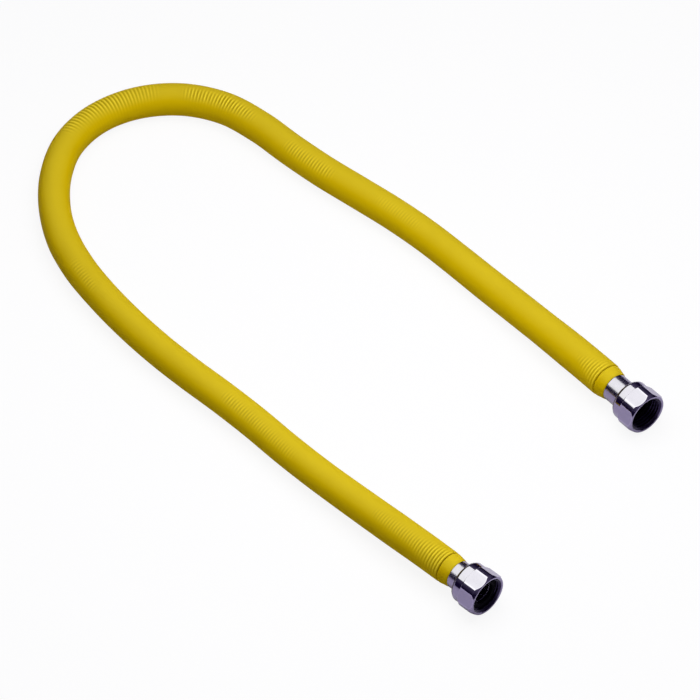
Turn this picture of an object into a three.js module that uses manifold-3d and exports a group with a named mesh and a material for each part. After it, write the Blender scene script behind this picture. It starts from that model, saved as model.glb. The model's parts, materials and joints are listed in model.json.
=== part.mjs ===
// Flexible gas hose: a corrugated steel tube in a yellow sheath, with a swivel union nut at each end.
// Millimetres, +Z up. The hose lies on the plane z = 0, bent in a U, and both nuts open towards +X.
// End a is the one on the -Y side, end b the one on the +Y side.

import * as THREE from "three";
import { mergeVertices } from "three/addons/utils/BufferGeometryUtils.js";
import Module from "manifold-3d";

// Gap that touching or nested pieces keep to each other.
const clearance = 0.3;

// Hose: the sheath's outside, its wall, and the depth of the corrugations that the tube's wall stands for.
const sheathDiameter = 18.8;
const sheathWall = 1.0;
const corrugationDepth = 1.7;
const hoseSides = 12;
const hoseSteps = 60;

// Yellow end sleeve, shrunk over the joint of sheath and tailpiece: its wall at the rear and at its front edge.
const endSleeveLength = 7.7;
const endSleeveWall = 1.45;
const endSleeveFrontWall = 0.45;

// Tailpiece: the spigot under the end sleeve, the step up to the bright barrel, and the flange at its front.
const spigotWall = 1.65;
const barrelStep = 0.5;
const flangeHeight = 0.85;
const flangeThickness = 2.0;

// Flat gasket in front of the flange, set back from the gas bore.
const gasketThickness = 2.0;
const gasketSetBack = 0.2;

// Socket of the union nut, a half inch gas thread: its play round the flange, its depth, relief and mouth.
const flangePlay = 0.32;
const threadDepth = 1.28;
const reliefLength = 1.6;
const mouthChamfer = 1.63;
const mouthTaper = 1.3;

// Outside of the union nut: a hexagon with turned corners, and the round collar behind it.
const nutWall = 1.4;
const nutCornerHeight = 0.9;
const nutLength = 16.8;
const nutHexEdge = 0.5;
const nutFrontChamfer = 1.0;
const nutFrontTaper = 1.8;
const nutCollarSetIn = 0.05;
const nutCollarLength = 6.1;
const nutRearChamfer = 1.05;
const nutRearTaper = 1.8;
const nutShoulderDepth = 5.0;

// Split ring in a groove of the nut's collar: the nut turns on it and slides along the barrel with it.
const ringWidth = 1.2;
const ringThickness = 1.0;
const ringSetIn = 2.0;
const ringOpening = 3.0;

// Barrel left bare behind a nut that is pulled forward, and how far each nut is pushed back from there.
const bareBarrel = 9.5;
const setBackA = 4.6;
const setBackB = 0;

// Turn of the hexagons: the angle from +Y to the flat that faces up.
const hexTurnDegrees = 107;
const roundSides = 40;

// Centre line of the sheath from end a to end b. It lies on z = 0 and rises where the wider nuts lift the ends.
const route = [
  [185.8, -78.2, 12.9],
  [169.8, -79.1, 12.9],
  [151.8, -80.1, 12.5],
  [131.9, -81.0, 11.7],
  [109.9, -81.8, 10.6],
  [85.9, -82.6, 9.7],
  [59.9, -82.9, 9.4],
  [33.9, -82.6, 9.4],
  [7.9, -83.3, 9.4],
  [-18.0, -84.7, 9.4],
  [-44.0, -85.2, 9.4],
  [-70.0, -84.2, 9.4],
  [-95.8, -81.5, 9.4],
  [-121.4, -76.8, 9.4],
  [-146.0, -68.5, 9.4],
  [-168.4, -55.5, 9.4],
  [-187.6, -38.1, 9.4],
  [-201.8, -16.4, 9.4],
  [-206.8, 8.9, 9.4],
  [-201.4, 34.2, 9.4],
  [-186.6, 55.3, 9.4],
  [-164.7, 68.9, 9.4],
  [-139.3, 73.9, 9.4],
  [-113.3, 74.9, 9.4],
  [-87.4, 76.8, 9.4],
  [-61.6, 80.2, 9.4],
  [-35.8, 83.4, 9.4],
  [-9.9, 85.1, 9.4],
  [16.1, 85.2, 9.4],
  [42.1, 84.6, 9.7],
  [66.1, 83.8, 10.6],
  [88.0, 82.9, 11.7],
  [108.0, 82.1, 12.5],
  [126.0, 81.3, 12.9],
  [142.0, 80.6, 12.9],
].map((point) => new THREE.Vector3(...point));

// Diameters that follow, from the sheath inwards and then outwards to the nut: 24 mm across the flats.
const tubeDiameter = sheathDiameter - 2 * (sheathWall + clearance);
const spigotDiameter = sheathDiameter - 2 * (endSleeveWall + clearance);
const endSleeveFrontDiameter = spigotDiameter + 2 * (endSleeveFrontWall + clearance);
const gasBore = spigotDiameter - 2 * spigotWall;
const gasketInnerDiameter = gasBore + 2 * gasketSetBack;
const barrelDiameter = spigotDiameter + 2 * barrelStep;
const flangeDiameter = barrelDiameter + 2 * flangeHeight;
const threadMinorDiameter = flangeDiameter + 2 * flangePlay;
const reliefDiameter = threadMinorDiameter + 2 * threadDepth;
const mouthDiameter = threadMinorDiameter + 2 * mouthChamfer;
const nutAcrossFlats = reliefDiameter + 2 * nutWall;
const nutCornerDiameter = nutAcrossFlats + 2 * nutCornerHeight;
const nutFrontDiameter = nutCornerDiameter - 2 * nutFrontChamfer;
const nutCollarDiameter = nutAcrossFlats - 2 * nutCollarSetIn;
const nutRearDiameter = nutCollarDiameter - 2 * nutRearChamfer;
const ringInnerRadius = barrelDiameter / 2 + clearance;
const ringOuterRadius = ringInnerRadius + ringThickness;
const nutRearBoreRadius = barrelDiameter / 2 + clearance;

// Places along a fitting: x = 0 is where the yellow ends, and +x leads to the mouth.
const hoseEnd = -endSleeveLength - clearance;
const flangeBack = bareBarrel + nutShoulderDepth + clearance;
const flangeFront = flangeBack + flangeThickness;

const yellowPlastic = new THREE.MeshStandardMaterial({ color: 0xcbb116, roughness: 0.45, metalness: 0 });
const chromedBrass = new THREE.MeshStandardMaterial({ color: 0xd9d8e0, roughness: 0.08, metalness: 1 });
const stainlessSteel = new THREE.MeshStandardMaterial({ color: 0xb5b6b8, roughness: 0.3, metalness: 1 });
const blackRubber = new THREE.MeshStandardMaterial({ color: 0x161617, roughness: 0.8, metalness: 0 });

const wasm = await Module();
wasm.setup();

function named(name, geometry, material) {
  const mesh = new THREE.Mesh(geometry, material);
  mesh.name = name;
  return mesh;
}

// A geometry as a solid that can be cut and joined.
function toSolid(geometry) {
  const bare = geometry.clone();
  bare.deleteAttribute("normal");
  bare.deleteAttribute("uv");
  const merged = mergeVertices(bare, 1e-4);
  return new wasm.Manifold(
    new wasm.Mesh({
      numProp: 3,
      vertProperties: merged.attributes.position.array,
      triVerts: new Uint32Array(merged.index.array),
    }),
  );
}

function toGeometry(solid) {
  const mesh = solid.getMesh();
  return new THREE.BufferGeometry()
    .setAttribute("position", new THREE.BufferAttribute(mesh.vertProperties, 3))
    .setIndex(new THREE.BufferAttribute(mesh.triVerts, 1));
}

// A ring-shaped piece turned about the X axis. The outline is a closed loop of [x, radius] points: out along
// the outside from the rear to the front, and back along the bore.
function turned(outline) {
  const loop = [...outline, outline[0]].map(([x, radius]) => new THREE.Vector2(radius, x));
  return new THREE.LatheGeometry(loop, roundSides).rotateZ(-Math.PI / 2);
}

// A regular polygon's corners, for the hose's section.
function polygon(radius) {
  return Array.from({ length: hoseSides }, (_, i) => {
    const angle = (i / hoseSides) * 2 * Math.PI;
    return new THREE.Vector2(radius * Math.cos(angle), radius * Math.sin(angle));
  });
}

// A hollow length of hose along the route.
function hoseTube(outerDiameter, wall) {
  const section = new THREE.Shape(polygon(outerDiameter / 2));
  section.holes.push(new THREE.Path(polygon(outerDiameter / 2 - wall)));
  return new THREE.ExtrudeGeometry(section, {
    steps: hoseSteps,
    extrudePath: new THREE.CatmullRomCurve3(route, false, "centripetal"),
  });
}

// The end sleeve: as wide as the sheath at its rear, narrowing on a quarter-sine to its front.
function endSleeve() {
  const boreRadius = spigotDiameter / 2 + clearance;
  const rearRadius = sheathDiameter / 2;
  const frontRadius = endSleeveFrontDiameter / 2;
  const stations = 6;
  const outside = Array.from({ length: stations + 1 }, (_, i) => {
    const share = i / stations;
    const narrowing = 1 - Math.cos((share * Math.PI) / 2);
    return [-endSleeveLength * (1 - share), rearRadius + (frontRadius - rearRadius) * narrowing];
  });
  return turned([...outside, [0, boreRadius], [-endSleeveLength, boreRadius]]);
}

function tailpiece() {
  const barrelStart = clearance;
  const spigotEnd = hoseEnd + clearance;
  return turned([
    [spigotEnd, spigotDiameter / 2],
    [barrelStart, spigotDiameter / 2],
    [barrelStart, barrelDiameter / 2],
    [flangeBack, barrelDiameter / 2],
    [flangeBack, flangeDiameter / 2],
    [flangeFront, flangeDiameter / 2],
    [flangeFront, gasBore / 2],
    [spigotEnd, gasBore / 2],
  ]);
}

function gasket() {
  const rear = flangeFront + clearance;
  const front = rear + gasketThickness;
  return turned([
    [rear, flangeDiameter / 2],
    [front, flangeDiameter / 2],
    [front, gasketInnerDiameter / 2],
    [rear, gasketInnerDiameter / 2],
  ]);
}

// The nut from its rear face at x = 0: a turned body with its bores, cut to a hexagon.
function unionNut() {
  const grooveStart = ringSetIn - clearance;
  const grooveEnd = ringSetIn + ringWidth + clearance;
  const grooveRadius = ringOuterRadius + clearance;
  const reliefEnd = nutShoulderDepth + reliefLength;
  const body = turned([
    [0, nutRearDiameter / 2],
    [nutRearTaper, nutCollarDiameter / 2],
    [nutCollarLength, nutCollarDiameter / 2],
    [nutCollarLength, nutCornerDiameter / 2 - nutHexEdge],
    [nutCollarLength + nutHexEdge, nutCornerDiameter / 2],
    [nutLength - nutFrontTaper, nutCornerDiameter / 2],
    [nutLength, nutFrontDiameter / 2],
    [nutLength, mouthDiameter / 2],
    [nutLength - mouthTaper, threadMinorDiameter / 2],
    [reliefEnd, threadMinorDiameter / 2],
    [reliefEnd, reliefDiameter / 2],
    [nutShoulderDepth, reliefDiameter / 2],
    [nutShoulderDepth, nutRearBoreRadius],
    [grooveEnd, nutRearBoreRadius],
    [grooveEnd, grooveRadius],
    [grooveStart, grooveRadius],
    [grooveStart, nutRearBoreRadius],
    [0, nutRearBoreRadius],
  ]);
  const acrossCorners = nutAcrossFlats / Math.cos(Math.PI / 6);
  const barLength = 2 * nutLength;
  const hexBar = new THREE.CylinderGeometry(acrossCorners / 2, acrossCorners / 2, barLength, 6)
    .rotateY(Math.PI / 6)
    .rotateZ(-Math.PI / 2)
    .rotateX(THREE.MathUtils.degToRad(hexTurnDegrees));
  return toGeometry(toSolid(body).intersect(toSolid(hexBar)));
}

// The split ring from its rear face at x = 0, open at the bottom.
function retainingRing() {
  const halfOpening = Math.asin(ringOpening / 2 / ringOuterRadius);
  const shape = new THREE.Shape();
  shape.absarc(0, 0, ringOuterRadius, halfOpening, 2 * Math.PI - halfOpening, false);
  shape.absarc(0, 0, ringInnerRadius, 2 * Math.PI - halfOpening, halfOpening, true);
  return new THREE.ExtrudeGeometry(shape, { depth: ringWidth, bevelEnabled: false, curveSegments: roundSides / 2 })
    .rotateY(Math.PI / 2);
}

// One end of the hose, along its own X axis. The nut and its ring stand together, setBack behind the flange.
function fitting(label, setBack) {
  const group = new THREE.Group();
  group.add(
    named("end_sleeve_" + label, endSleeve(), yellowPlastic),
    named("tailpiece_" + label, tailpiece(), chromedBrass),
    named("sealing_gasket_" + label, gasket(), blackRubber),
  );
  const nutGroup = new THREE.Group();
  nutGroup.position.x = bareBarrel - setBack;
  const ring = named("retaining_ring_" + label, retainingRing(), stainlessSteel);
  ring.position.x = ringSetIn;
  nutGroup.add(named("union_nut_" + label, unionNut(), chromedBrass), ring);
  group.add(nutGroup);
  return group;
}

// Puts a fitting on an end of the route, facing the way the hose runs out there.
function placeFitting(group, end, next) {
  const outward = end.clone().sub(next).normalize();
  group.position.copy(end).addScaledVector(outward, -hoseEnd);
  group.quaternion.setFromUnitVectors(new THREE.Vector3(1, 0, 0), outward);
  return group;
}

const hose = new THREE.Group();
hose.add(
  named("yellow_sheath", hoseTube(sheathDiameter, sheathWall), yellowPlastic),
  named("corrugated_tube", hoseTube(tubeDiameter, corrugationDepth), stainlessSteel),
  placeFitting(fitting("a", setBackA), route[0], route[1]),
  placeFitting(fitting("b", setBackB), route.at(-1), route.at(-2)),
);

export default hose;
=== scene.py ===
"""Looks of a flexible gas hose: a ribbed yellow sheath over a corrugated steel tube, bent in a U, with a
chromed union nut at each end. Everything is in metres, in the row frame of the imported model."""

import json
import math

import bpy
import numpy as np
from mathutils import Vector
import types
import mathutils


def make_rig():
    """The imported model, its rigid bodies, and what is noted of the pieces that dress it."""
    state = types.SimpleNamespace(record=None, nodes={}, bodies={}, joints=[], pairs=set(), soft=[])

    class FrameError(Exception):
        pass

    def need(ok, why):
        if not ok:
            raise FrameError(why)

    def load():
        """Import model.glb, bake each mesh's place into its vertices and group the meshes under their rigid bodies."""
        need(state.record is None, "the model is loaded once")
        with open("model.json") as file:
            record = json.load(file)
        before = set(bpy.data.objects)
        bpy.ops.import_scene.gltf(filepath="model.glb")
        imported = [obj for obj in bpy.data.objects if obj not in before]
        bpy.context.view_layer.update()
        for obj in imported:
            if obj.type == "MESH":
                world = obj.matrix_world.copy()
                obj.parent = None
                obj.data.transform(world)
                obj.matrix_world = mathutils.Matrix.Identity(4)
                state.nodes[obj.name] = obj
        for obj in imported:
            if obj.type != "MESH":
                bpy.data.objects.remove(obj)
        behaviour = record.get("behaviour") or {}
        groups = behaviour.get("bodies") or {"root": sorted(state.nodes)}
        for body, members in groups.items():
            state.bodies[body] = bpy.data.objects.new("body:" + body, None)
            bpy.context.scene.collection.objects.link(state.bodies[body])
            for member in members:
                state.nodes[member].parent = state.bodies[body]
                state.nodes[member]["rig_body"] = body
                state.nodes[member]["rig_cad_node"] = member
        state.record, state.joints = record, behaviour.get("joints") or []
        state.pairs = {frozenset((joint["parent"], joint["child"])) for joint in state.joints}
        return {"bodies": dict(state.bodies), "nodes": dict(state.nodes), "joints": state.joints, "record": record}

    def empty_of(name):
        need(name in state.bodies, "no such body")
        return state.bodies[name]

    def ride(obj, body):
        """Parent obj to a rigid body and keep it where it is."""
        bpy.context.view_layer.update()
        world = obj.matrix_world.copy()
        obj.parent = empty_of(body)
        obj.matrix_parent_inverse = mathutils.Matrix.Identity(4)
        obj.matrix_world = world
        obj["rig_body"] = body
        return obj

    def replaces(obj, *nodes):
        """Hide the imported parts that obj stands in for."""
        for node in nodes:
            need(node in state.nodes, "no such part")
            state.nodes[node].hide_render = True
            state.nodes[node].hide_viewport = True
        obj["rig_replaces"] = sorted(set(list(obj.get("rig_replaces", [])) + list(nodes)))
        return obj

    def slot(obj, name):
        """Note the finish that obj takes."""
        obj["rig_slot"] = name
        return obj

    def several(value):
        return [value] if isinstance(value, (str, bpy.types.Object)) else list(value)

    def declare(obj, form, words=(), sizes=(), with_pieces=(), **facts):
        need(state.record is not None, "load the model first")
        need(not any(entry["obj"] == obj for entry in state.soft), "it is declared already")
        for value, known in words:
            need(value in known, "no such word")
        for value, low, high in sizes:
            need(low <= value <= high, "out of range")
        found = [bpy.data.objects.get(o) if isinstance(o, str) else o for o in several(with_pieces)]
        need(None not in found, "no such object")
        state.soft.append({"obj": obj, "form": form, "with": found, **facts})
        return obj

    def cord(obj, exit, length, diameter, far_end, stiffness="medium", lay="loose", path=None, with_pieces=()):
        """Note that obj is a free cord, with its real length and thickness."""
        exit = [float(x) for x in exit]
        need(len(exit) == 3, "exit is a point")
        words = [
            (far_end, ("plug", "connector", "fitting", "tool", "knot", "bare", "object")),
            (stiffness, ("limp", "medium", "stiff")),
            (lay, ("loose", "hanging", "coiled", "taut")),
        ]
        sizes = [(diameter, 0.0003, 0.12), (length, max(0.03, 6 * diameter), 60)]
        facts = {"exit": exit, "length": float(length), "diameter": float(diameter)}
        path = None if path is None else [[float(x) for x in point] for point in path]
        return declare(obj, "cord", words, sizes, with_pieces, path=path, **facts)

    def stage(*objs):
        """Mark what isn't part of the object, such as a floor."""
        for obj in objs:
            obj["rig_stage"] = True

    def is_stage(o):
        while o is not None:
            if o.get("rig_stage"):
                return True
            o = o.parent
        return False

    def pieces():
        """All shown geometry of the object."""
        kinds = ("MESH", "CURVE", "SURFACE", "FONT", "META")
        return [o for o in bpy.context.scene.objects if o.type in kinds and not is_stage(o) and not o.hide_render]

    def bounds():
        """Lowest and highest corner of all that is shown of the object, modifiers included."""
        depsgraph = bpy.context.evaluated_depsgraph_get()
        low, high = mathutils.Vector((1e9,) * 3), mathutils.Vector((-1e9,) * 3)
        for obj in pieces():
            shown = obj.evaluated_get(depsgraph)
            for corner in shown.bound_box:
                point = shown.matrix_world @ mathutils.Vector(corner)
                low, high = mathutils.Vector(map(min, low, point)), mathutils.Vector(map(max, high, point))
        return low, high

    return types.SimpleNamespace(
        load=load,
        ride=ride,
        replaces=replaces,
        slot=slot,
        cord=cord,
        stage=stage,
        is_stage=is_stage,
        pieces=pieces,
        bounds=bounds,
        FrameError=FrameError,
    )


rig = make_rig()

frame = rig.load()
cad_low, cad_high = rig.bounds()

MM = 0.001
TURN = 2 * math.pi

# The photograph's viewpoint.
VIEW_AZIMUTH = math.radians(48)
VIEW_ELEVATION = math.radians(46)
VIEW_DISTANCE = 3.47086
VIEW_CENTRE = Vector((0.0279, -0.0067, 0.0094))
LENS_MM = 321.87

# Centre line of the sheath from end a to end b, as in the CAD source.
ROUTE = np.array(
    [
        (0.1858, -0.0782, 0.0129),
        (0.1698, -0.0791, 0.0129),
        (0.1518, -0.0801, 0.0125),
        (0.1319, -0.0810, 0.0117),
        (0.1099, -0.0818, 0.0106),
        (0.0859, -0.0826, 0.0097),
        (0.0599, -0.0829, 0.0094),
        (0.0339, -0.0826, 0.0094),
        (0.0079, -0.0833, 0.0094),
        (-0.0180, -0.0847, 0.0094),
        (-0.0440, -0.0852, 0.0094),
        (-0.0700, -0.0842, 0.0094),
        (-0.0958, -0.0815, 0.0094),
        (-0.1214, -0.0768, 0.0094),
        (-0.1460, -0.0685, 0.0094),
        (-0.1684, -0.0555, 0.0094),
        (-0.1876, -0.0381, 0.0094),
        (-0.2018, -0.0164, 0.0094),
        (-0.2068, 0.0089, 0.0094),
        (-0.2014, 0.0342, 0.0094),
        (-0.1866, 0.0553, 0.0094),
        (-0.1647, 0.0689, 0.0094),
        (-0.1393, 0.0739, 0.0094),
        (-0.1133, 0.0749, 0.0094),
        (-0.0874, 0.0768, 0.0094),
        (-0.0616, 0.0802, 0.0094),
        (-0.0358, 0.0834, 0.0094),
        (-0.0099, 0.0851, 0.0094),
        (0.0161, 0.0852, 0.0094),
        (0.0421, 0.0846, 0.0097),
        (0.0661, 0.0838, 0.0106),
        (0.0880, 0.0829, 0.0117),
        (0.1080, 0.0821, 0.0125),
        (0.1260, 0.0813, 0.0129),
        (0.1420, 0.0806, 0.0129),
    ]
)

# Hose: sheath and the corrugated tube under it.
SHEATH_RADIUS = 9.4 * MM
SHEATH_WALL = 1.0 * MM
TUBE_RADIUS = 8.0 * MM
TUBE_DEPTH = 1.5 * MM
TUBE_WALL = 0.25 * MM
RIB_PITCH = 1.98 * MM
RIB_HEIGHT = 0.3 * MM
SHEATH_SIDES = 48
TUBE_SIDES = 20
SHEATH_RINGS_PER_RIB = 8
TUBE_RINGS_PER_RIB = 4
BORE_RINGS = 90
FAINTEST_RIB = 0.02
SHEATH_UNEVENNESS = 0.05 * MM
RIM_DROP = 0.35 * MM
RIM_REACH = 0.25 * MM

# Where the ribs show through the sheath, patch by patch from end a. Each pair holds a value at the patch's
# first end and at its last: the place along the hose in millimetres, the share of the rib height, and the
# middle and the reach of the side it shows on, in degrees from the inside of the bend over the top.
RIB_PATCHES = np.array(
    [
        [(-8, 22), (1.4, 0.5), (123, 122), (56, 19)],
        [(22, 50), (0.48, 0.33), (119, 116), (21, 15)],
        [(115, 172), (0.25, 0.55), (126, 112), (17, 17)],
        [(284, 306), (0.38, 0.28), (121, 117), (15, 15)],
        [(414, 447), (0.72, 0.9), (106, 95), (26, 40)],
        [(447, 475), (0.84, 0.36), (87, 84), (42, 32)],
        [(494, 515), (0.9, 0.7), (72, 68), (21, 22)],
        [(515, 539), (1.35, 0.66), (73, 70), (25, 15)],
        [(570, 603), (0.62, 0.66), (60, 58), (19, 18)],
        [(638, 668), (0.2, 0.24), (67, 68), (16, 16)],
        [(808, 838), (0.42, 1.2), (55, 55), (9, 75)],
    ]
)
# Millimetres over which a patch fades at its ends, and its share on the side where it doesn't show.
PATCH_EASE = 7
PATCH_REST = 0.03

# How far the ribs are drawn apart: (millimetres from end a, share of the usual pitch).
RIB_STRETCH = np.array(
    [
        (0, 0.98),
        (40, 0.95),
        (120, 1.0),
        (220, 1.04),
        (294, 1.1),
        (427, 1.22),
        (461, 1.07),
        (502, 1.03),
        (526, 1.08),
        (585, 1.03),
        (650, 0.98),
        (824, 1.0),
    ]
)

# How much wider than usual the sheath is: (millimetres from end a, share). It is drawn slightly thin along
# the first leg and round the tight bend, and stretched wide over the joint at end b.
SWELL_ZONES = np.array(
    [
        (0, -0.012),
        (40, 0.006),
        (90, -0.022),
        (140, -0.022),
        (284, -0.014),
        (310, 0.004),
        (328, 0.004),
        (350, -0.028),
        (444, -0.028),
        (478, 0),
        (690, 0),
        (735, 0.022),
        (770, 0.026),
        (795, 0.066),
        (824, 0.07),
    ]
)

# Fittings, along their own axis: the yellow ends at SLEEVE_FRONT and the mouth is at the far end.
END_SLEEVE_LENGTH = 7.7
SLEEVE_FRONT = -1.0
HOSE_END = -8.0
SPIGOT_RADIUS = 7.65
BARREL_RADIUS = 8.15
FLANGE_RADIUS = 9.0
GAS_RADIUS = 6.0
FLANGE_BACK = 14.8
FLANGE_FRONT = 16.8
GASKET_BACK = 17.1
GASKET_FRONT = 19.1
GASKET_BORE = 6.2

# Union nut, from its rear face.
NUT_LENGTH = 16.8
NUT_FLAT_RADIUS = 12.0
NUT_CORNER_RADIUS = 12.9
COLLAR_RADIUS = 11.93
MOUTH_RADIUS = 10.95
OUTSIDE_FROM = MOUTH_RADIUS - 0.05
CHAMBER_RADIUS = 10.6
CHAMBER_BACK = 5.0
NECK_RADIUS = 8.45
RING_GROOVE_RADIUS = 9.75
RING_GROOVE = (1.7, 3.5)
HEX_START = 6.1
THREAD_START = 6.6
THREAD_END = 15.5
THREAD_CREST = 9.32
THREAD_DEPTH = 1.16
THREAD_PITCH = 1.814
HEX_TURN = math.radians(107)

FITTINGS = {
    "a": {"nut_at": 4.9, "sleeve": (9.15, 8.3)},
    "b": {"nut_at": 9.5, "sleeve": (9.7, 8.5)},
}


def place_camera():
    """The photograph's camera: it looks at VIEW_CENTRE from the view's azimuth and elevation."""
    back = Vector(
        (
            math.sin(VIEW_AZIMUTH) * math.cos(VIEW_ELEVATION),
            -math.cos(VIEW_AZIMUTH) * math.cos(VIEW_ELEVATION),
            math.sin(VIEW_ELEVATION),
        )
    )
    lens = bpy.data.cameras.new("photo_camera")
    lens.sensor_width = 36
    lens.lens = LENS_MM
    camera = bpy.data.objects.new("photo_camera", lens)
    camera.location = VIEW_CENTRE + back * VIEW_DISTANCE
    camera.rotation_euler = (-back).to_track_quat("-Z", "Y").to_euler()
    bpy.context.scene.collection.objects.link(camera)
    bpy.context.scene.camera = camera


place_camera()


def grid_piece(name, points, u=None, v=None, masks=None, sharp=math.radians(38)):
    """A closed smooth mesh from a grid of points that wraps both ways, like a ring's surface.

    The grid has shape (rows, columns, 3). Face (i, j) joins points (i, j), (i+1, j), (i+1, j+1) and (i, j+1),
    counted round. If the volume comes out negative, every face is turned over. u and v are the UV values of
    the rows and columns, with one more value than there are lines, and masks are values for each point.
    """
    rows, columns = points.shape[:2]
    i, j = np.meshgrid(np.arange(rows), np.arange(columns), indexing="ij")
    corner_rows = np.stack([i, i + 1, i + 1, i], axis=-1).reshape(-1, 4)
    corner_columns = np.stack([j, j, j + 1, j + 1], axis=-1).reshape(-1, 4)
    faces = corner_rows % rows * columns + corner_columns % columns
    flat = points.reshape(-1, 3)
    a, b, c, d = (flat[faces[:, k]] for k in range(4))
    volume = np.einsum("ij,ij->", a, np.cross(b, c) + np.cross(c, d))
    if volume < 0:
        faces, corner_rows, corner_columns = (x[:, ::-1] for x in (faces, corner_rows, corner_columns))
    mesh = bpy.data.meshes.new(name)
    mesh.vertices.add(len(flat))
    mesh.vertices.foreach_set("co", flat.ravel())
    mesh.loops.add(faces.size)
    mesh.loops.foreach_set("vertex_index", faces.ravel().astype(np.int32))
    mesh.polygons.add(len(faces))
    mesh.polygons.foreach_set("loop_start", np.arange(0, faces.size, 4, dtype=np.int32))
    mesh.update(calc_edges=True)
    if u is not None:
        layer = mesh.uv_layers.new(name="along_and_round")
        pairs = np.stack([u[corner_rows], v[corner_columns]], axis=-1)
        layer.data.foreach_set("uv", pairs.ravel())
    for mask, values in (masks or {}).items():
        attribute = mesh.attributes.new(mask, "FLOAT", "POINT")
        attribute.data.foreach_set("value", values.ravel().astype(np.float32))
    mesh.shade_smooth()
    mesh.set_sharp_from_angle(angle=sharp)
    mesh.validate()
    piece = bpy.data.objects.new(name, mesh)
    bpy.context.scene.collection.objects.link(piece)
    return piece


def route_line(samples=40):
    """The route as a dense line: a centripetal Catmull-Rom curve through ROUTE.

    Each stretch between two points is a cubic whose end slopes come from the two neighbours, weighted by the
    square roots of the distances.
    """
    p = np.vstack([2 * ROUTE[0] - ROUTE[1], ROUTE, 2 * ROUTE[-1] - ROUTE[-2]])
    root = np.sqrt(np.linalg.norm(np.diff(p, axis=0), axis=1))[:, None]
    before, start, end, after = p[:-3], p[1:-2], p[2:-1], p[3:]
    near, mid, far = root[:-2], root[1:-1], root[2:]
    slope_in = mid * ((start - before) / near - (end - before) / (near + mid) + (end - start) / mid)
    slope_out = mid * ((end - start) / mid - (after - start) / (mid + far) + (after - end) / far)
    t = (np.arange(samples) / samples)[None, :, None]
    square = 3 * (end - start) - 2 * slope_in - slope_out
    cube = 2 * (start - end) + slope_in + slope_out
    curve = (
        start[:, None]
        + slope_in[:, None] * t
        + square[:, None] * t**2
        + cube[:, None] * t**3
    )
    return np.vstack([curve.reshape(-1, 3), ROUTE[-1:]])


def along(line, stations):
    """Points, tangents and cross axes of a line at the given distances along it.

    The side axis is the tangent crossed with the vertical, and the up axis is square to both, so the frame
    never twists on a line that lies nearly flat.
    """
    steps = np.linalg.norm(np.diff(line, axis=0), axis=1)
    distance = np.concatenate([[0], np.cumsum(steps)])

    def at(places):
        return np.stack([np.interp(places, distance, line[:, k]) for k in range(3)], axis=-1)

    reach = 2 * MM
    points = at(stations)
    ahead = at(np.minimum(stations + reach, distance[-1]))
    behind = at(np.maximum(stations - reach, 0))
    tangent = ahead - behind
    tangent /= np.linalg.norm(tangent, axis=1)[:, None]
    side = np.cross(tangent, (0.0, 0.0, 1.0))
    side /= np.linalg.norm(side, axis=1)[:, None]
    return points, tangent, side, np.cross(side, tangent)


def rings(line, stations, radius, sides):
    """A grid of rings round a line: the ring at each station is centre + radius * (cos * side + sin * up)."""
    points, _, side, up = along(line, stations)
    angle = np.arange(sides) / sides * TURN
    ray = np.cos(angle)[None, :, None] * side[:, None] + np.sin(angle)[None, :, None] * up[:, None]
    return points[:, None] + radius[:, :, None] * ray


LINE = route_line()
HOSE_LENGTH = float(np.linalg.norm(np.diff(LINE, axis=0), axis=1).sum())


def number_ribs(places):
    """Running number of the ribs: the integral of 1 / (pitch * stretch), scaled to end on a whole rib."""
    rate = 1 / (RIB_PITCH * np.interp(places / MM, *RIB_STRETCH.T))
    steps = (rate[1:] + rate[:-1]) / 2 * np.diff(places)
    number = np.concatenate([[0], np.cumsum(steps)])
    return number * round(number[-1]) / number[-1]


RIB_PLACES = np.linspace(0, HOSE_LENGTH, 2000)
RIB_NUMBERS = number_ribs(RIB_PLACES)
RIBS = round(RIB_NUMBERS[-1])


def rib_strength(stations, angle):
    """How plainly the ribs stand out, by station and by angle round the sheath.

    Each patch is its share, faded in and out over PATCH_EASE at its ends, times a bell about its middle: the
    exponential of minus the cube of |angle - middle| / reach, over a small rest that goes all round.
    """
    place = stations[:, None] / MM
    total = 0
    for ends, *values in RIB_PATCHES:
        share, middle, reach = (np.interp(place, ends, value) for value in values)
        fade_in = np.clip(0.5 + (place - ends[0]) / PATCH_EASE, 0, 1)
        fade_out = np.clip(0.5 + (ends[1] - place) / PATCH_EASE, 0, 1)
        away = np.abs((np.degrees(angle)[None] - middle + 180) % 360 - 180)
        bell = PATCH_REST + (1 - PATCH_REST) * np.exp(-((away / reach) ** 3))
        total = total + share * fade_in * fade_out * bell
    return total


def rib_stations(samples):
    """Places along the hose at even shares of each rib, from end to end."""
    return np.interp(np.arange(RIBS * samples + 1) / samples, RIB_NUMBERS, RIB_PLACES)


def painted_top_light_mask(angle):
    """Mask of the side that faces up, which takes a painted sheen while the flanks take a painted shade hue, by the
    sine of the angle round the hose: 0 to 0.6, and 1 from 0.95.
    """
    return np.clip((np.sin(angle) - 0.6) / 0.35, 0, 1)


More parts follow.
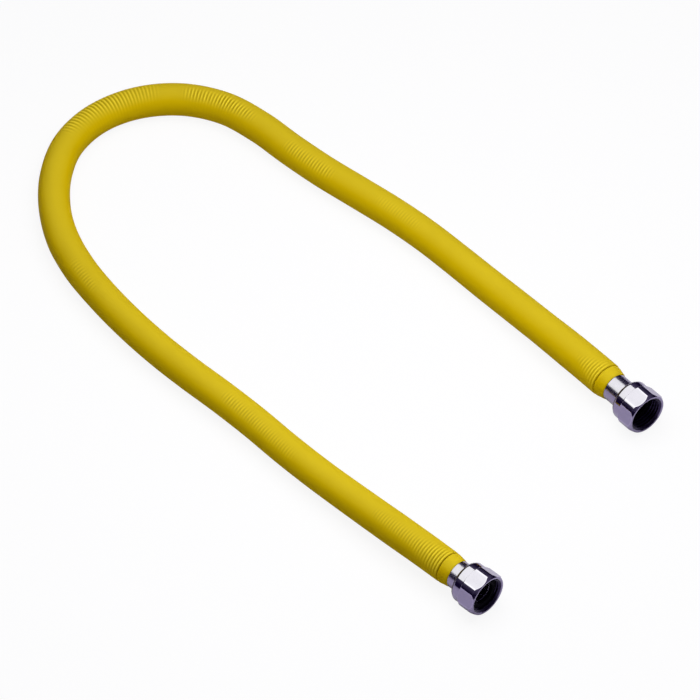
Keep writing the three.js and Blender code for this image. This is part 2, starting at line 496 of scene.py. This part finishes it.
def hose_sheath():
    """The yellow sheath: a tube along the route whose outside swells and sinks with the ribs.

    Outer radius = usual radius * (1 + swell) + height * strength * (crest - 0.5), where crest goes from 0 to
    1 and back over each rib as a raised cosine. To that comes a slow unevenness, a product of sines of the
    angle and the place. A rib has all its rings where it shows, and every fourth elsewhere. The rim drops by
    an exponential of the distance from the end.
    """
    stations = rib_stations(SHEATH_RINGS_PER_RIB)
    angle = np.arange(SHEATH_SIDES) / SHEATH_SIDES * TURN
    plain = rib_strength(stations, angle).max(axis=1) > FAINTEST_RIB
    outer = stations[plain | (np.arange(len(stations)) % 4 == 0)]
    inner = np.linspace(HOSE_LENGTH, 0, BORE_RINGS)
    phase = np.interp(outer, RIB_PLACES, RIB_NUMBERS) * TURN
    crest = (0.5 - 0.5 * np.cos(phase))[:, None]
    strength = rib_strength(outer, angle)
    swell = np.interp(outer / MM, SWELL_ZONES[:, 0], SWELL_ZONES[:, 1])
    slow = np.sin(3 * angle[None] + outer[:, None] * 31) * np.sin(outer[:, None] * 47)
    rim = RIM_DROP * np.exp(-np.minimum(outer, HOSE_LENGTH - outer) / RIM_REACH)
    even = SHEATH_RADIUS * (1 + swell) - rim
    outside = even[:, None] + RIB_HEIGHT * strength * (crest - 0.5) + SHEATH_UNEVENNESS * slow
    inside = np.full((len(inner), SHEATH_SIDES), SHEATH_RADIUS - SHEATH_WALL)
    points = np.vstack(
        [
            rings(LINE, outer, outside, SHEATH_SIDES),
            rings(LINE, inner, inside, SHEATH_SIDES),
        ]
    )
    # Painted shade in the grooves and a painted highlight on the crests, as strong as the ribs show.
    masks = {
        "painted_groove_shade": np.vstack([strength * (1 - crest) ** 1.5, np.zeros_like(inside)]),
        "painted_crest_highlight": np.vstack([strength * crest**1.5, np.zeros_like(inside)]),
        # The side that faces up, where the finish paints a sheen; the flanks get a painted shade hue.
        "painted_top_light": np.broadcast_to(painted_top_light_mask(angle), (len(points), SHEATH_SIDES)),
    }
    u = np.concatenate([outer, inner, inner[-1:]])
    v = np.arange(SHEATH_SIDES + 1) / SHEATH_SIDES * TURN * SHEATH_RADIUS
    return grid_piece("hose_sheath", points, u, v, masks, sharp=math.radians(50))


def steel_tube():
    """The corrugated tube: radius - depth * raised cosine of the rib's number, and a wall less inside."""
    stations = rib_stations(TUBE_RINGS_PER_RIB)
    wave = 0.5 + 0.5 * np.cos(np.arange(len(stations)) / TUBE_RINGS_PER_RIB * TURN)
    radius = (TUBE_RADIUS - TUBE_DEPTH * wave)[:, None] * np.ones(TUBE_SIDES)
    points = np.vstack(
        [
            rings(LINE, stations, radius, TUBE_SIDES),
            rings(LINE, stations[::-1], radius[::-1] - TUBE_WALL, TUBE_SIDES),
        ]
    )
    return grid_piece("steel_tube", points)


def fitting_frames():
    """Origin and axes of both fittings, on from each end of the route."""
    frames = {}
    for label, end, beside in (("a", ROUTE[0], ROUTE[1]), ("b", ROUTE[-1], ROUTE[-2])):
        axis = (end - beside) / np.linalg.norm(end - beside)
        side = np.cross((0.0, 0.0, 1.0), axis)
        frames[label] = (end - HOSE_END * MM * axis, axis, side, np.cross(axis, side))
    return frames


FRAMES = fitting_frames()


def rounded(corners, steps=5):
    """A closed outline of (x, radius) with its corners rounded.

    Each corner is (x, radius, cut). The curve leaves the sides at the distance cut from the corner and is the
    parabola that touches both sides there.
    """
    table = np.array(corners, float)
    point, cut = table[:, :2], table[:, 2:]
    back, on = np.roll(point, 1, axis=0) - point, np.roll(point, -1, axis=0) - point
    back /= np.linalg.norm(back, axis=1)[:, None]
    on /= np.linalg.norm(on, axis=1)[:, None]
    t = np.linspace(0, 1, steps)[None, :, None]
    curve = point[:, None] + (1 - t) ** 2 * (cut * back)[:, None] + t**2 * (cut * on)[:, None]
    return curve.reshape(-1, 2)


def with_stations(outline, step):
    """A closed outline with more points on its long sides, so that none is longer than step."""
    loop = np.vstack([outline, outline[:1]])
    length = np.concatenate([[0], np.cumsum(np.linalg.norm(np.diff(loop, axis=0), axis=1))])
    even = np.arange(0, length[-1], step)
    gap = np.abs(even[:, None] - length[None]).min(axis=1)
    stations = np.sort(np.concatenate([length[:-1], even[gap > 0.3 * step]]))
    return np.stack([np.interp(stations, length, loop[:, k]) for k in range(2)], axis=-1)


def placed(label, x, y, z):
    """Points given in millimetres in a fitting's own axes, put in their place in metres."""
    origin, axis, side, up = FRAMES[label]
    return origin + (x[..., None] * axis + y[..., None] * side + z[..., None] * up) * MM


def turned(label, name, outline, sides=128):
    """A piece turned about the fitting's axis: each outline point makes the ring (x, r * cos, r * sin)."""
    angle = np.arange(sides) / sides * TURN
    x, radius = outline[:, :1], outline[:, 1:]
    points = placed(label, x + 0 * angle, radius * np.cos(angle), radius * np.sin(angle))
    u = np.arange(len(outline) + 1) / len(outline)
    v = np.arange(sides + 1) / sides
    # The side that faces up, where the yellow finish paints a sheen and the flanks a shade hue.
    masks = {"painted_top_light": np.broadcast_to(painted_top_light_mask(angle), points.shape[:2])}
    return grid_piece(f"{name}_{label}", points, u, v, masks)


def end_sleeve(label):
    """The yellow end sleeve: it narrows on a soft curve from a rounded rear edge to a rolled front edge.

    Radius = rear + (front - rear) * (0.35 * share + 0.65 * share to the power 1.6) + a ripple of 0.05 mm,
    where share is the part of the way from the rear edge to the front edge.
    """
    rear, front = FITTINGS[label]["sleeve"]
    bore = SPIGOT_RADIUS + 0.05
    share = np.linspace(0, 1, 14)
    x = -END_SLEEVE_LENGTH + 0.5 + share * (END_SLEEVE_LENGTH + SLEEVE_FRONT - 1.1)
    radius = rear + (front - rear) * (0.35 * share + 0.65 * share**1.6) + 0.05 * np.sin(share * 9)
    edge = [
        (-END_SLEEVE_LENGTH, rear - 0.55),
        (-END_SLEEVE_LENGTH + 0.12, rear - 0.2),
    ]
    lip = [
        (SLEEVE_FRONT - 0.35, front - 0.05),
        (SLEEVE_FRONT - 0.08, front - 0.25),
        (SLEEVE_FRONT, bore),
    ]
    outline = np.vstack([edge, np.stack([x, radius], axis=-1), lip, [(-END_SLEEVE_LENGTH, bore)]])
    return turned(label, "sleeve", outline)


def tailpiece(label):
    """The spigot inside the sleeve, the bright barrel where the yellow ends, and the flange at the front."""
    corners = [
        (-END_SLEEVE_LENGTH, SPIGOT_RADIUS, 0.15),
        (SLEEVE_FRONT + 0.1, SPIGOT_RADIUS, 0.05),
        (SLEEVE_FRONT + 0.1, BARREL_RADIUS, 0.2),
        (FLANGE_BACK, BARREL_RADIUS, 0.2),
        (FLANGE_BACK, FLANGE_RADIUS, 0.2),
        (FLANGE_FRONT, FLANGE_RADIUS, 0.2),
        (FLANGE_FRONT, GAS_RADIUS, 0.25),
        (-END_SLEEVE_LENGTH, GAS_RADIUS, 0.2),
    ]
    return turned(label, "barrel", rounded(corners))


def gasket(label):
    """The flat ring of rubber in front of the flange, with softened edges."""
    corners = [
        (GASKET_BACK, FLANGE_RADIUS, 0.3),
        (GASKET_FRONT, FLANGE_RADIUS, 0.3),
        (GASKET_FRONT, GASKET_BORE, 0.3),
        (GASKET_BACK, GASKET_BORE, 0.3),
    ]
    return turned(label, "gasket", rounded(corners))


def hexagon_angles(per_side=44):
    """Angles round the nut, crowded where a flat meets a turned corner.

    Over each sixth the spacing follows 1 / (1 + 3 * bell), with a bell at either edge of the flat, and the
    angles are the even steps of that density's running sum.
    """
    half = math.acos(NUT_FLAT_RADIUS / NUT_CORNER_RADIUS)
    fine = np.linspace(-math.pi / 6, math.pi / 6, 2001)
    bell = np.exp(-(((np.abs(fine) - half) / 0.05) ** 2))
    share = np.concatenate([[0], np.cumsum((1 + 3 * bell)[:-1])])
    sixth = np.interp(np.arange(per_side) / per_side * share[-1], share, fine)
    return (np.arange(6)[:, None] * (math.pi / 3) + sixth[None]).ravel()


def soft_least(a, b, blend):
    """The lesser of two values, with the change from one to the other rounded over the width blend."""
    overlap = np.maximum(blend - np.abs(a - b), 0)
    return np.minimum(a, b) - overlap**2 / (4 * blend)


def union_nut(label):
    """The union nut: a turned outline whose outside is cut by six flats and whose bore carries a thread.

    A flat at the angle t from its middle reaches the radius flat / cos(t). In the hexagon's length the
    outside is the lesser of that and the turned outline, with the edge slightly rounded. In the bore the
    radius is the crest + depth * raised cosine of (x / pitch - angle / turn), which fades at both ends. The
    edge mask, a painted highlight along the flats' edges, is an exponential of the distance from the flat's
    rim. The bore mask, painted shade with a rougher finish, fades in behind the mouth, and takes in the rear
    rim too.
    """
    corners = [
        (0, 10.75, 0.35),
        (1.7, COLLAR_RADIUS, 0.5),
        (HEX_START, COLLAR_RADIUS + 0.02, 0.12),
        (HEX_START + 0.1, 12.35, 0.12),
        (HEX_START + 0.65, NUT_CORNER_RADIUS, 0.25),
        (NUT_LENGTH - 1.9, NUT_CORNER_RADIUS, 0.4),
        (NUT_LENGTH, 11.8, 0.25),
        (NUT_LENGTH, MOUTH_RADIUS, 0.15),
        (THREAD_END, THREAD_CREST, 0.15),
        (THREAD_START, THREAD_CREST, 0.15),
        (THREAD_START, CHAMBER_RADIUS, 0.2),
        (CHAMBER_BACK, CHAMBER_RADIUS, 0.2),
        (CHAMBER_BACK, NECK_RADIUS, 0.15),
        (RING_GROOVE[1], NECK_RADIUS, 0.1),
        (RING_GROOVE[1], RING_GROOVE_RADIUS, 0.15),
        (RING_GROOVE[0], RING_GROOVE_RADIUS, 0.15),
        (RING_GROOVE[0], NECK_RADIUS, 0.1),
        (0, NECK_RADIUS, 0.2),
    ]
    outline = with_stations(rounded(corners), 0.14)
    x, radius = outline[:, :1], outline[:, 1:]
    angle = hexagon_angles()[None]
    from_flat = (angle + math.pi / 6) % (math.pi / 3) - math.pi / 6
    flat = np.where(x > HEX_START - 0.05, NUT_FLAT_RADIUS / np.cos(from_flat), 2 * NUT_CORNER_RADIUS)
    outside = radius > OUTSIDE_FROM
    shape = np.where(outside, soft_least(radius, flat, 0.16), radius)
    in_bore = (radius < THREAD_CREST + 0.01) & (x > THREAD_START + 0.1) & (x < THREAD_END)
    fade = np.clip((x - THREAD_START) / 0.6, 0, 1) * np.clip((THREAD_END - x) / 0.8, 0, 1)
    wave = 0.5 - 0.5 * np.cos((x / THREAD_PITCH - angle / TURN) * TURN)
    shape = shape + np.where(in_bore, THREAD_DEPTH * wave * fade, 0)
    # A painted highlight along the rims of the flats.
    edge = np.exp(-np.abs(radius - flat) / 0.12) * outside
    # Painted shade in the bore behind the mouth and on the rear rim, where the roughness also rises.
    inside = (radius < OUTSIDE_FROM) & (x > CHAMBER_BACK)
    rear = outside & (x < 1.6)
    dull = inside * np.clip((MOUTH_RADIUS - 0.2 - radius) / 0.35, 0, 1) + 0.85 * rear
    bore = np.broadcast_to(dull, shape.shape)
    place = x + FITTINGS[label]["nut_at"] + 0 * angle
    turn = angle + HEX_TURN
    points = placed(label, place, shape * np.cos(turn), shape * np.sin(turn))
    u = np.arange(len(outline) + 1) / len(outline)
    v = np.arange(angle.size + 1) / angle.size
    masks = {"edge": edge + 0 * shape, "bore": bore}
    return grid_piece(f"nut_{label}", points, u, v, masks)


# Materials. Helpers first, then the effects that several finishes share, then the finishes.


def new_finish(name):
    """An empty material with its Principled shader; returns the material, its nodes, links and shader."""
    material = bpy.data.materials.new(name)
    material.use_nodes = True
    nodes = material.node_tree.nodes
    return material, nodes, material.node_tree.links, nodes["Principled BSDF"]


def add(nodes, kind, **values):
    """A node of that kind, with plain properties or, for names of sockets, their values set."""
    node = nodes.new(kind)
    for key, value in values.items():
        if hasattr(node, key):
            setattr(node, key, value)
        else:
            node.inputs[key.replace("_", " ")].default_value = value
    return node


def object_noise(nodes, links, **values):
    """A noise over the surface in Object coordinates."""
    place = add(nodes, "ShaderNodeTexCoord")
    noise = add(nodes, "ShaderNodeTexNoise", **values)
    links.new(place.outputs["Object"], noise.inputs["Vector"])
    return noise


def surface_mask(nodes, name):
    """One of the masks that a piece's mesh carries."""
    return add(nodes, "ShaderNodeAttribute", attribute_name=name).outputs["Fac"]


def new_effect(name, inputs, outputs):
    """An empty node group with named inputs (name, kind, value) and outputs (name, kind)."""
    group = bpy.data.node_groups.new(name, "ShaderNodeTree")
    for title, kind, value in inputs:
        socket = group.interface.new_socket(title, in_out="INPUT", socket_type=kind)
        socket.default_value = value
    for title, kind in outputs:
        group.interface.new_socket(title, in_out="OUTPUT", socket_type=kind)
    return group, group.nodes.new("NodeGroupInput"), group.nodes.new("NodeGroupOutput")


def patches_effect():
    """Slow patches over a surface: a noise drawn apart about its middle, as a mask from 0 to 1."""
    group, given, made = new_effect(
        "slow_patches",
        [("Scale", "NodeSocketFloat", 60.0), ("Contrast", "NodeSocketFloat", 1.0)],
        [("Mask", "NodeSocketFloat")],
    )
    nodes, links = group.nodes, group.links
    noise = object_noise(nodes, links, Detail=4.0, Roughness=0.6)
    links.new(given.outputs["Scale"], noise.inputs["Scale"])
    centre = add(nodes, "ShaderNodeMath", operation="SUBTRACT")
    centre.inputs[1].default_value = 0.5
    links.new(noise.outputs["Fac"], centre.inputs[0])
    stretch = add(nodes, "ShaderNodeMath", operation="MULTIPLY_ADD", use_clamp=True)
    stretch.inputs[2].default_value = 0.5
    links.new(centre.outputs[0], stretch.inputs[0])
    links.new(given.outputs["Contrast"], stretch.inputs[1])
    links.new(stretch.outputs[0], made.inputs["Mask"])
    return group


def scratches_effect():
    """Fine handling scratches: a noise drawn out along x, kept only at its narrow crests."""
    group, given, made = new_effect(
        "fine_scratches",
        [
            ("Across", "NodeSocketFloat", 4000.0),
            ("Length", "NodeSocketFloat", 60.0),
            ("Amount", "NodeSocketFloat", 0.5),
        ],
        [("Mask", "NodeSocketFloat")],
    )
    nodes, links = group.nodes, group.links
    place = add(nodes, "ShaderNodeTexCoord")
    size = add(nodes, "ShaderNodeCombineXYZ")
    links.new(given.outputs["Length"], size.inputs["X"])
    links.new(given.outputs["Across"], size.inputs["Y"])
    links.new(given.outputs["Across"], size.inputs["Z"])
    stretch = add(nodes, "ShaderNodeVectorMath", operation="MULTIPLY")
    links.new(place.outputs["Object"], stretch.inputs[0])
    links.new(size.outputs[0], stretch.inputs[1])
    noise = add(nodes, "ShaderNodeTexNoise", Scale=1.0, Detail=2.0)
    links.new(stretch.outputs[0], noise.inputs["Vector"])
    crest = add(nodes, "ShaderNodeMapRange")
    crest.inputs["From Min"].default_value = 0.62
    crest.inputs["From Max"].default_value = 0.8
    links.new(noise.outputs["Fac"], crest.inputs["Value"])
    scale = add(nodes, "ShaderNodeMath", operation="MULTIPLY")
    links.new(crest.outputs[0], scale.inputs[0])
    links.new(given.outputs["Amount"], scale.inputs[1])
    links.new(scale.outputs[0], made.inputs["Mask"])
    return group


PATCHES = patches_effect()
SCRATCHES = scratches_effect()


def placed_effect(nodes, effect, **values):
    """A shared effect placed in a material with its own values."""
    node = nodes.new("ShaderNodeGroup")
    node.node_tree = effect
    for key, value in values.items():
        node.inputs[key].default_value = value
    return node


def between(nodes, links, mask, low, high):
    """A value that goes from low to high with a mask."""
    node = add(nodes, "ShaderNodeMapRange")
    node.inputs["To Min"].default_value = low
    node.inputs["To Max"].default_value = high
    links.new(mask, node.inputs["Value"])
    return node.outputs[0]


def mixed(nodes, links, mask, first, second):
    """A colour that goes from first to second with a mask; each is a colour or another node's output."""
    node = nodes.new("ShaderNodeMix")
    node.data_type = "RGBA"
    links.new(mask, node.inputs["Factor"])
    for socket, value in ((node.inputs[6], first), (node.inputs[7], second)):
        if isinstance(value, tuple):
            socket.default_value = (*value, 1)
        else:
            links.new(value, socket)
    return node.outputs[2]


def bumped(nodes, links, height, distance, strength=1.0):
    """A normal raised by a height over the given distance in metres."""
    node = add(nodes, "ShaderNodeBump", Strength=strength, Distance=distance)
    links.new(height, node.inputs["Height"])
    return node.outputs["Normal"]


# Top-side colours with a painted sheen, then the flanks' colours with a painted shade hue.
YELLOW_TOP_PAINTED_SHEEN = (0.68, 0.51, 0.0145)
YELLOW_TOP_PAINTED_SHEEN_DEEP = (0.63, 0.468, 0.0115)
YELLOW_PAINTED_SHADE_FLANK = (0.71, 0.502, 0.0008)
YELLOW_PAINTED_SHADE_FLANK_DEEP = (0.67, 0.468, 0.0004)
# Painted shade in the grooves and a painted highlight on the rib crests.
YELLOW_PAINTED_GROOVE_SHADE = (0.41, 0.29, 0.0004)
YELLOW_PAINTED_CREST_HIGHLIGHT = (0.98, 0.78, 0.042)
# The sleeves' top-side colours, with a painted sheen.
SLEEVE_TOP_PAINTED_SHEEN = (0.74, 0.56, 0.0155)
SLEEVE_TOP_PAINTED_SHEEN_DEEP = (0.68, 0.51, 0.0120)


def yellow_finish(name, deep, light, with_painted_rib_light):
    """Extruded yellow plastic of uneven tone and fine grain, with painted light: paler on top as a painted sheen, a
    painted shade hue on the flanks, painted shade darkening the grooves and a painted highlight on the rib crests.
    """
    material, nodes, links, shader = new_finish(name)
    tone = placed_effect(nodes, PATCHES, Scale=26.0, Contrast=1.6)
    painted_sheen_top = mixed(nodes, links, tone.outputs["Mask"], deep, light)
    painted_shade_flank = mixed(nodes, links, tone.outputs["Mask"], YELLOW_PAINTED_SHADE_FLANK_DEEP, YELLOW_PAINTED_SHADE_FLANK)
    # The side that faces up takes the painted sheen, and the flanks take the painted shade hue.
    colour = mixed(nodes, links, surface_mask(nodes, "painted_top_light"), painted_shade_flank, painted_sheen_top)
    # Painted shade in the grooves and a painted highlight on the rib crests.
    if with_painted_rib_light:
        colour = mixed(nodes, links, surface_mask(nodes, "painted_crest_highlight"), colour, YELLOW_PAINTED_CREST_HIGHLIGHT)
        colour = mixed(nodes, links, surface_mask(nodes, "painted_groove_shade"), colour, YELLOW_PAINTED_GROOVE_SHADE)
    links.new(colour, shader.inputs["Base Color"])
    smudge = placed_effect(nodes, PATCHES, Scale=170.0, Contrast=1.8)
    links.new(between(nodes, links, smudge.outputs["Mask"], 0.44, 0.56), shader.inputs["Roughness"])
    skin = object_noise(nodes, links, Scale=1400.0, Detail=3.0, Roughness=0.55)
    links.new(bumped(nodes, links, skin.outputs["Fac"], 0.04 * MM, 0.5), shader.inputs["Normal"])
    shader.inputs["Specular IOR Level"].default_value = 0.01
    return material


CHROME = (0.25, 0.217, 0.34)
CHROME_WORN = (0.225, 0.195, 0.306)
# A painted highlight on the edges of the nut's flats.
CHROME_PAINTED_EDGE_GLINT = (0.33, 0.287, 0.449)
# Painted shade in the nut's bore and on its rear rim.
CHROME_BORE_PAINTED_SHADE = (0.026, 0.019, 0.050)


def chromed(nodes, links, shader, colour, smooth):
    """What all chrome shares: metal of that colour with fine scratches and a faint wave in its skin.

    The roughness is smooth, the output of a node, and 0.1 more where a scratch runs.
    """
    links.new(colour, shader.inputs["Base Color"])
    shader.inputs["Metallic"].default_value = 1.0
    marks = placed_effect(nodes, SCRATCHES, Across=5200.0, Length=300.0, Amount=0.6)
    rough = add(nodes, "ShaderNodeMath", operation="MULTIPLY_ADD")
    rough.inputs[1].default_value = 0.1
    links.new(marks.outputs["Mask"], rough.inputs[0])
    links.new(smooth, rough.inputs[2])
    links.new(rough.outputs[0], shader.inputs["Roughness"])
    wave = object_noise(nodes, links, Scale=170.0, Detail=1.0)
    links.new(bumped(nodes, links, wave.outputs["Fac"], 0.06 * MM, 0.35), shader.inputs["Normal"])


def chrome_finish():
    """The barrels' chrome: a cool violet cast, softened by faint smudges."""
    material, nodes, links, shader = new_finish("bright_chrome")
    smudge = placed_effect(nodes, PATCHES, Scale=220.0, Contrast=1.5).outputs["Mask"]
    colour = mixed(nodes, links, smudge, CHROME, CHROME_WORN)
    chromed(nodes, links, shader, colour, between(nodes, links, smudge, 0.18, 0.25))
    return material


def nut_finish():
    """The nuts' chrome: a painted highlight at the edges of the flats outside, and painted shade on the rougher thread
    inside and on the rear rim.
    """
    material, nodes, links, shader = new_finish("nut_chrome")
    smudge = placed_effect(nodes, PATCHES, Scale=220.0, Contrast=1.5).outputs["Mask"]
    bore = surface_mask(nodes, "bore")
    colour = mixed(nodes, links, smudge, CHROME, CHROME_WORN)
    # A painted highlight on the edges of the flats.
    colour = mixed(nodes, links, surface_mask(nodes, "edge"), colour, CHROME_PAINTED_EDGE_GLINT)
    # Painted shade in the bore and on the rear rim, with a rougher finish there.
    colour = mixed(nodes, links, bore, colour, CHROME_BORE_PAINTED_SHADE)
    dull = add(nodes, "ShaderNodeMath", operation="MULTIPLY_ADD")
    dull.inputs[1].default_value = 0.28
    links.new(bore, dull.inputs[0])
    links.new(between(nodes, links, smudge, 0.055, 0.10), dull.inputs[2])
    chromed(nodes, links, shader, colour, dull.outputs[0])
    return material


STEEL = (0.47, 0.47, 0.48)
STEEL_BRIGHT = (0.56, 0.56, 0.57)


def steel_finish():
    """Drawn stainless steel: grey, half matt, with long fine scratches."""
    material, nodes, links, shader = new_finish("drawn_steel")
    smudge = placed_effect(nodes, PATCHES, Scale=300.0, Contrast=1.5)
    colour = mixed(nodes, links, smudge.outputs["Mask"], STEEL, STEEL_BRIGHT)
    links.new(colour, shader.inputs["Base Color"])
    shader.inputs["Metallic"].default_value = 1.0
    marks = placed_effect(nodes, SCRATCHES, Across=3000.0, Length=200.0, Amount=1.0)
    links.new(between(nodes, links, marks.outputs["Mask"], 0.26, 0.42), shader.inputs["Roughness"])
    links.new(bumped(nodes, links, marks.outputs["Mask"], 0.02 * MM, 0.4), shader.inputs["Normal"])
    return material


RUBBER = (0.0018, 0.0012, 0.0034)
RUBBER_BLOOM = (0.0045, 0.0036, 0.0075)


def rubber_finish():
    """Black sealing rubber: matt, with a faint bloom in patches and a fine grain."""
    material, nodes, links, shader = new_finish("sealing_rubber")
    bloom = placed_effect(nodes, PATCHES, Scale=500.0, Contrast=2.0)
    colour = mixed(nodes, links, bloom.outputs["Mask"], RUBBER, RUBBER_BLOOM)
    links.new(colour, shader.inputs["Base Color"])
    links.new(between(nodes, links, bloom.outputs["Mask"], 0.62, 0.82), shader.inputs["Roughness"])
    grain = object_noise(nodes, links, Scale=3500.0, Detail=2.0)
    links.new(bumped(nodes, links, grain.outputs["Fac"], 0.04 * MM, 0.5), shader.inputs["Normal"])
    shader.inputs["Specular IOR Level"].default_value = 0.04
    return material


def dress(piece, material, body, slot, *nodes):
    """Gives a piece its finish, its body, the record's slot and the CAD nodes that it stands for."""
    piece.data.materials.clear()
    piece.data.materials.append(material)
    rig.ride(piece, body)
    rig.slot(piece, slot)
    if nodes:
        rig.replaces(piece, *nodes)
    return piece


SHEATH_FINISH = yellow_finish("yellow_sheath_plastic", YELLOW_TOP_PAINTED_SHEEN_DEEP, YELLOW_TOP_PAINTED_SHEEN, with_painted_rib_light=True)
SLEEVE_FINISH = yellow_finish("yellow_sleeve_plastic", SLEEVE_TOP_PAINTED_SHEEN_DEEP, SLEEVE_TOP_PAINTED_SHEEN, with_painted_rib_light=False)
CHROME_FINISH = chrome_finish()
NUT_FINISH = nut_finish()
STEEL_FINISH = steel_finish()
RUBBER_FINISH = rubber_finish()

sheath = dress(hose_sheath(), SHEATH_FINISH, "hose", "yellow_plastic", "yellow_sheath")
dress(steel_tube(), STEEL_FINISH, "hose", "stainless_steel", "corrugated_tube")
ends = {}
for label in FITTINGS:
    ring_node = frame["nodes"][f"retaining_ring_{label}"]
    ring_node.data.materials.clear()
    ring_node.data.materials.append(STEEL_FINISH)
    ends[label] = [
        dress(end_sleeve(label), SLEEVE_FINISH, "hose", "yellow_plastic", f"end_sleeve_{label}"),
        dress(tailpiece(label), CHROME_FINISH, "hose", "chrome_plate", f"tailpiece_{label}"),
        dress(gasket(label), RUBBER_FINISH, "hose", "gasket_rubber", f"sealing_gasket_{label}"),
        dress(union_nut(label), NUT_FINISH, f"nut_{label}", "chrome_plate", f"union_nut_{label}"),
        ring_node,
    ]

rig.cord(
    sheath,
    exit=tuple(ROUTE[0]),
    length=0.824,
    diameter=0.0188,
    far_end="fitting",
    stiffness="stiff",
    lay="loose",
    path=LINE[::4],
    with_pieces=ends["b"],
)


# Stage and light.

FLOOR_DROP = 0.3 * MM
FLOOR_HALF = 12.0
PALE = (0.93, 0.93, 0.935)
BOUNCE_GREY = (0.54, 0.54, 0.54)
FLOOR_GLOW = 0.9
WORLD_LOW = (0.018, 0.010, 0.045)
WORLD_HIGH = (0.27, 0.245, 0.33)


def pale_floor():
    """A plain pale floor just under the hose.

    What the lens sees of it is part plain white and part lit, and what the metal sees is all lit, so the
    object's shadow stays in both. The light that it throws back on the object comes from a duller grey.
    """
    mesh = bpy.data.meshes.new("pale_floor")
    corners = [(-1, -1), (1, -1), (1, 1), (-1, 1)]
    points = [(x * FLOOR_HALF, y * FLOOR_HALF, -FLOOR_DROP) for x, y in corners]
    mesh.from_pydata(points, [], [(0, 1, 2, 3)])
    floor = bpy.data.objects.new("pale_floor", mesh)
    bpy.context.scene.collection.objects.link(floor)
    material, nodes, links, shader = new_finish("pale_floor")
    ray = add(nodes, "ShaderNodeLightPath")
    seen = add(nodes, "ShaderNodeMath", operation="ADD")
    mirrored = add(nodes, "ShaderNodeMath", operation="ADD", use_clamp=True)
    links.new(ray.outputs["Is Camera Ray"], seen.inputs[0])
    links.new(ray.outputs["Is Glossy Ray"], seen.inputs[1])
    links.new(seen.outputs[0], mirrored.inputs[0])
    links.new(ray.outputs["Is Transmission Ray"], mirrored.inputs[1])
    links.new(mixed(nodes, links, mirrored.outputs[0], BOUNCE_GREY, PALE), shader.inputs["Base Color"])
    shader.inputs["Roughness"].default_value = 0.9
    shader.inputs["Specular IOR Level"].default_value = 0.1
    white = add(nodes, "ShaderNodeEmission")
    share = add(nodes, "ShaderNodeMath", operation="MULTIPLY")
    share.inputs[1].default_value = FLOOR_GLOW
    links.new(ray.outputs["Is Camera Ray"], share.inputs[0])
    blend = add(nodes, "ShaderNodeMixShader")
    links.new(share.outputs[0], blend.inputs[0])
    links.new(shader.outputs[0], blend.inputs[1])
    links.new(white.outputs[0], blend.inputs[2])
    links.new(blend.outputs[0], nodes["Material Output"].inputs["Surface"])
    mesh.materials.append(material)
    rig.stage(floor)


def soft_panel(name, centre, size, aim, radiance, glossy=False, colour=(1, 1, 1)):
    """A square lamp of that radiance, for the plain surfaces or, if glossy, only for what metal mirrors.

    Its power is radiance * pi * area.
    """
    lamp = bpy.data.lights.new(name, "AREA")
    lamp.shape = "SQUARE"
    lamp.size = size
    lamp.energy = radiance * math.pi * size**2
    lamp.color = colour
    panel = bpy.data.objects.new(name, lamp)
    panel.location = centre
    panel.rotation_euler = (Vector(aim) - Vector(centre)).to_track_quat("-Z", "Y").to_euler()
    panel.visible_camera = False
    panel.visible_glossy = glossy
    panel.visible_diffuse = not glossy
    bpy.context.scene.collection.objects.link(panel)


def studio_world():
    """A dim violet studio, darkest near the floor and paler overhead, by the height of the direction."""
    world = bpy.data.worlds.new("studio")
    world.use_nodes = True
    nodes, links = world.node_tree.nodes, world.node_tree.links
    place = add(nodes, "ShaderNodeTexCoord")
    split = add(nodes, "ShaderNodeSeparateXYZ")
    links.new(place.outputs["Generated"], split.inputs[0])
    ramp = add(nodes, "ShaderNodeValToRGB")
    stops = ramp.color_ramp.elements
    stops[0].position = 0.3
    stops[0].color = (*WORLD_LOW, 1)
    stops[1].position = 0.85
    stops[1].color = (*WORLD_HIGH, 1)
    links.new(split.outputs["Z"], ramp.inputs["Fac"])
    links.new(ramp.outputs["Color"], nodes["Background"].inputs["Color"])
    bpy.context.scene.world = world


pale_floor()
studio_world()
soft_panel(
    "mirrored_panel",
    centre=(-0.85, -0.26, 1.3),
    size=2.5,
    aim=(-0.85, -0.26, 0),
    radiance=3.2,
    glossy=True,
    colour=(1, 1.15, 0.74),
)
soft_panel("near_panel", centre=(0.08, 0, 0.52), size=0.5, aim=(0.08, 0, 0), radiance=3.0)
soft_panel("far_panel", centre=(-0.1, 0.5, 2.4), size=2.4, aim=(0, 0, 0), radiance=0.8)
bpy.context.scene.view_settings.view_transform = "Standard"

low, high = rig.bounds()
json.dump(
    {"cad": [list(cad_low), list(cad_high)], "visual": [list(low), list(high)]},
    open("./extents.json", "w"),
)
